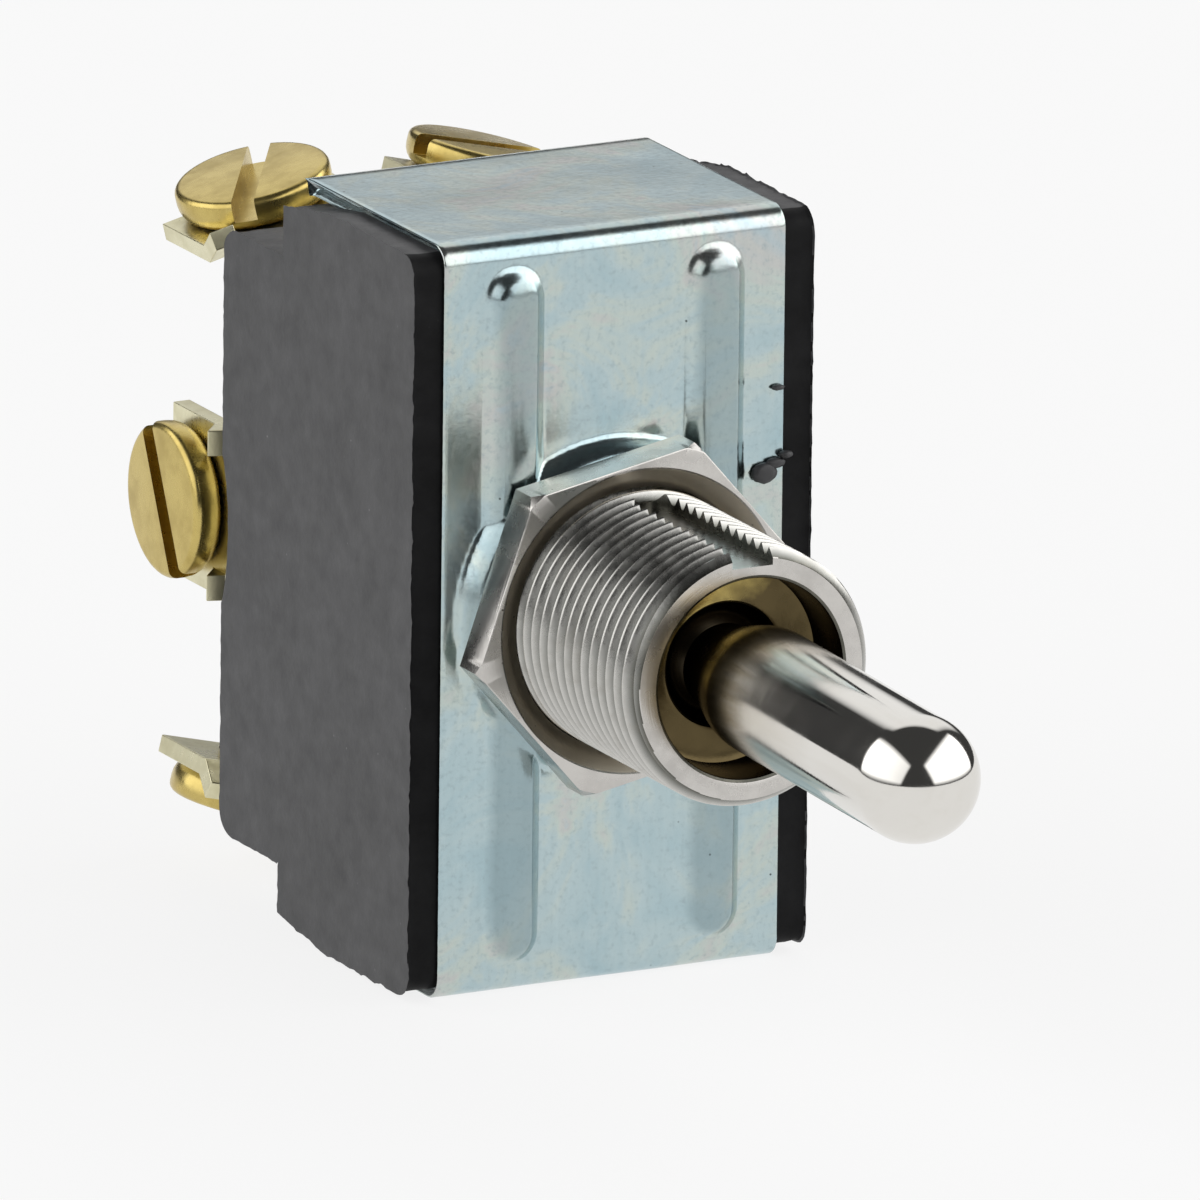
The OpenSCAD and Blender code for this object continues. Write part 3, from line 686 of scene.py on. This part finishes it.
def make_case():
    outline = cheek_points()
    n = len(outline)
    normals = []
    for i in range(n):
        a, b = Vector(outline[i - 1]), Vector(outline[(i + 1) % n])
        t = (b - a).normalized()
        normals.append(Vector((-t.y, t.x)))
    bm = bmesh.new()
    scallop_half, scallop_depth = 3.3, 0.5
    scallop_r = (scallop_half ** 2 + scallop_depth ** 2) / (2 * scallop_depth)
    # sections from inside the cheek to its face, and how far the edge is worn in at each
    sections = ((CHEEK_IN - 0.4, 0.0), (CHEEK_IN + 0.05, 0.0), (9.3, 0.0), (9.72, 0.0),
                (9.88, 0.05), (CASE_X, 0.16))
    for s in (-1, 1):
        rows = []
        for depth, inset in sections:
            row = []
            for i, (y, z) in enumerate(outline):
                where = Vector((y * 1.3, z * 1.3, s * 9.0))
                chip = 0.5 + 0.5 * noise.noise(where) + 0.8 * max(noise.noise(where * 3.1) - 0.15, 0.0)
                rough = 0.05 * noise.noise(Vector((y * 2.2, z * 2.2, depth * 2.0 + s)))
                move = -(inset * chip * 1.4) + (rough if depth > CHEEK_IN else 0.0)
                p = Vector((y, z)) - normals[i] * move
                yy = p.x
                if yy > 17.9 and abs(p.y) < scallop_half:
                    yy = min(yy, 18.6 - scallop_depth + scallop_r - sqrt(scallop_r ** 2 - p.y ** 2))
                x = depth - (0.05 * (chip - 0.5) if depth == CASE_X else 0.0)
                row.append((s * x, yy, p.y))
            rows.append(row)
        rings = add_rows(bm, rows)
        bm.faces.new(rings[-1] if s > 0 else rings[-1][::-1])
        bm.faces.new(rings[0])
    bmesh.ops.recalc_face_normals(bm, faces=bm.faces)
    cheeks = piece("case_cheeks", bm, "housing", [PHENOLIC, SHADED_EDGE], ["case"], 30)
    # the cheeks' front faces take the darker phenolic, painted shade
    for p in cheeks.data.polygons:
        if p.center.y < 1.2 * MM and abs(p.normal.x) < 0.75:
            p.material_index = 1

    # between the cheeks the case is the CAD's: its cavities, its slots and the wall between the poles
    core = bmesh.new()
    core.from_mesh(frame["nodes"]["case"].data)
    bmesh.ops.remove_doubles(core, verts=core.verts, dist=0.0005 * MM)
    for s in (-1, 1):
        bmesh.ops.bisect_plane(core, geom=core.verts[:] + core.edges[:] + core.faces[:], dist=0.0001 * MM,
                               plane_co=(s * CORE_X * MM, 0, 0), plane_no=(s, 0, 0), clear_outer=True)
        rim = [e for e in core.edges if e.is_boundary]
        bmesh.ops.holes_fill(core, edges=rim)
    bmesh.ops.dissolve_limit(core, angle_limit=radians(0.6), verts=core.verts, edges=core.edges)
    bevelled(piece("case_core", core, "housing", PHENOLIC), 0.12, 2)


def make_flash():
    """Slivers of moulding flash that run over the plate's right edge."""
    bm = bmesh.new()
    # where each sliver lies, its half length and half height, and its thickness
    for x, z, rx, rz, thick in ((7.45, 5.25, 0.62, 0.48, 0.22), (8.0, 5.65, 0.50, 0.24, 0.20),
                                (8.5, 6.0, 0.35, 0.18, 0.26), (8.1, 9.1, 0.32, 0.13, 0.16)):
        ball = bmesh.ops.create_icosphere(bm, subdivisions=3, radius=1.0)
        for v in ball["verts"]:
            bump = 1 + 0.16 * noise.noise(v.co * 2.3 + Vector((x, z, 0)))
            c = v.co * bump
            v.co = Vector((x + c.x * rx, -0.05 + (c.y - 0.5) * thick, z + c.z * rz)) * MM
    piece("case_flash", bm, "housing", PHENOLIC, sharp=60)


# ---------------------------------------------------------------- refined copies

def refined(node, width, segments=2):
    """The CAD node's shape with its triangles joined into flat faces and its edges broken."""
    bm = bmesh.new()
    bm.from_mesh(frame["nodes"][node].data)
    bmesh.ops.remove_doubles(bm, verts=bm.verts, dist=0.0005 * MM)
    bmesh.ops.dissolve_limit(bm, angle_limit=radians(0.6), verts=bm.verts, edges=bm.edges)
    slot = SLOT_OF[node]
    obj = piece(node + "_fine", bm, BODY_OF[node], FINISH[slot], [node])
    return bevelled(obj, width, segments)


make_frame()
make_bushing_piece()
make_nut()
make_lever()
make_case()
make_flash()
for side in COLUMNS:
    for row in ROWS:
        refined(f"terminal_{side}_{row}", 0.07)
        refined(f"screw_{side}_{row}", 0.06)

for node, obj in frame["nodes"].items():
    if not obj.hide_render:
        obj.data.materials.clear()
        obj.data.materials.append(FINISH[SLOT_OF[node]])


# ---------------------------------------------------------------- stage, light and camera

def make_floor():
    bm = bmesh.new()
    z = -PLATE_H / 2 - 0.02
    size = 1500
    for a, b in ((-1, -1), (1, -1), (1, 1), (-1, 1)):
        bm.verts.new(Vector((a * size, b * size, z)) * MM)
    bm.faces.new(list(bm.verts))
    mesh = bpy.data.meshes.new("floor")
    bm.to_mesh(mesh)
    bm.free()
    floor = bpy.data.objects.new("floor", mesh)
    bpy.context.scene.collection.objects.link(floor)
    m = Look("floor_white", specular=0.2)
    mesh.materials.append(m.done((0.86, 0.86, 0.86), 0.7))
    # part of the floor is plain white to the camera and in mirrors, and the rest keeps its shadow
    seen = m.seen_by("Is Camera Ray", "Is Glossy Ray", "Is Transmission Ray")
    share = m.math("MULTIPLY", seen, FLOOR_WHITE)
    glow = m.add("ShaderNodeEmission")
    mixer = m.add("ShaderNodeMixShader")
    m.link(share, mixer.inputs[0])
    m.link(m.bsdf.outputs[0], mixer.inputs[1])
    m.link(glow.outputs[0], mixer.inputs[2])
    m.link(mixer.outputs[0], m.tree.nodes["Material Output"].inputs["Surface"])


def direction(azimuth, elevation):
    a, e = radians(azimuth), radians(elevation)
    return Vector((sin(a) * cos(e), -cos(a) * cos(e), sin(e)))


def make_studio():
    """A dark room with a large softbox on each side of the camera and a lit backdrop."""
    world = bpy.data.worlds.new("studio")
    bpy.context.scene.world = world
    world.use_nodes = True
    g = Graph(world.node_tree, "Generated")

    def panel(azimuth, elevation, half_w, half_h, soft, fade=0.0):
        """1 inside a rectangle seen in a direction; its light may fade towards one end."""
        out = direction(azimuth, elevation)
        side = out.cross(Vector((0, 0, 1))).normalized()
        ahead = g.math("MAXIMUM", g.towards(out), 0.02)
        across = g.math("DIVIDE", g.towards(side), ahead)
        above = g.math("DIVIDE", g.towards(side.cross(out)), ahead)
        w, h = tan(radians(half_w)), tan(radians(half_h))
        inside = g.math("MULTIPLY", g.span(g.math("ABSOLUTE", across), w - soft, w + soft, 1, 0),
                        g.span(g.math("ABSOLUTE", above), h - soft, h + soft, 1, 0))
        return g.math("MULTIPLY", inside, g.span(across, -w, w, 1 - fade, 1 + fade))

    backdrop = panel(*BACKDROP)
    light = g.math("MULTIPLY", panel(*LEFT_BOX), LEFT_LIGHT)
    light = g.math("ADD", light, g.math("MULTIPLY", panel(*RIGHT_BOX), RIGHT_LIGHT))
    light = g.math("ADD", light, g.math("MULTIPLY", backdrop, BACK_LIGHT))
    light = g.math("ADD", light, ROOM_LIGHT)
    # the room is plain white to the camera, and the backdrop shows white in metal as well
    mirrored = g.math("MULTIPLY", g.seen_by("Is Glossy Ray"), backdrop)
    white = g.math("MAXIMUM", g.seen_by("Is Camera Ray", "Is Transmission Ray"), mirrored)
    back = world.node_tree.nodes["Background"]
    g.link(g.mix(white, light, (1.0, 1.0, 1.0)), back.inputs["Color"])
    back.inputs["Strength"].default_value = 1.0


def make_camera():
    az, el, roll = radians(-27.39), radians(15.49), radians(0.651)
    back = Vector((sin(az) * cos(el), -cos(az) * cos(el), sin(el)))
    right = Vector((cos(az), sin(az), 0.0))
    up = back.cross(right)
    right, up = right * cos(roll) + up * sin(roll), up * cos(roll) - right * sin(roll)
    place = (back * 1690.3 + right * -0.529 + up * 0.226) * MM
    data = bpy.data.cameras.new("camera")
    data.sensor_width = 36.0
    data.sensor_fit = "HORIZONTAL"
    data.lens = 38151.6 / 1200 * 36.0
    data.clip_start, data.clip_end = 0.05, 20.0
    cam = bpy.data.objects.new("camera", data)
    cam.matrix_world = Matrix.Translation(place) @ Matrix((right, up, back)).transposed().to_4x4()
    bpy.context.scene.collection.objects.link(cam)
    bpy.context.scene.camera = cam


make_floor()
make_studio()
make_camera()
bpy.context.scene.view_settings.view_transform = "Standard"
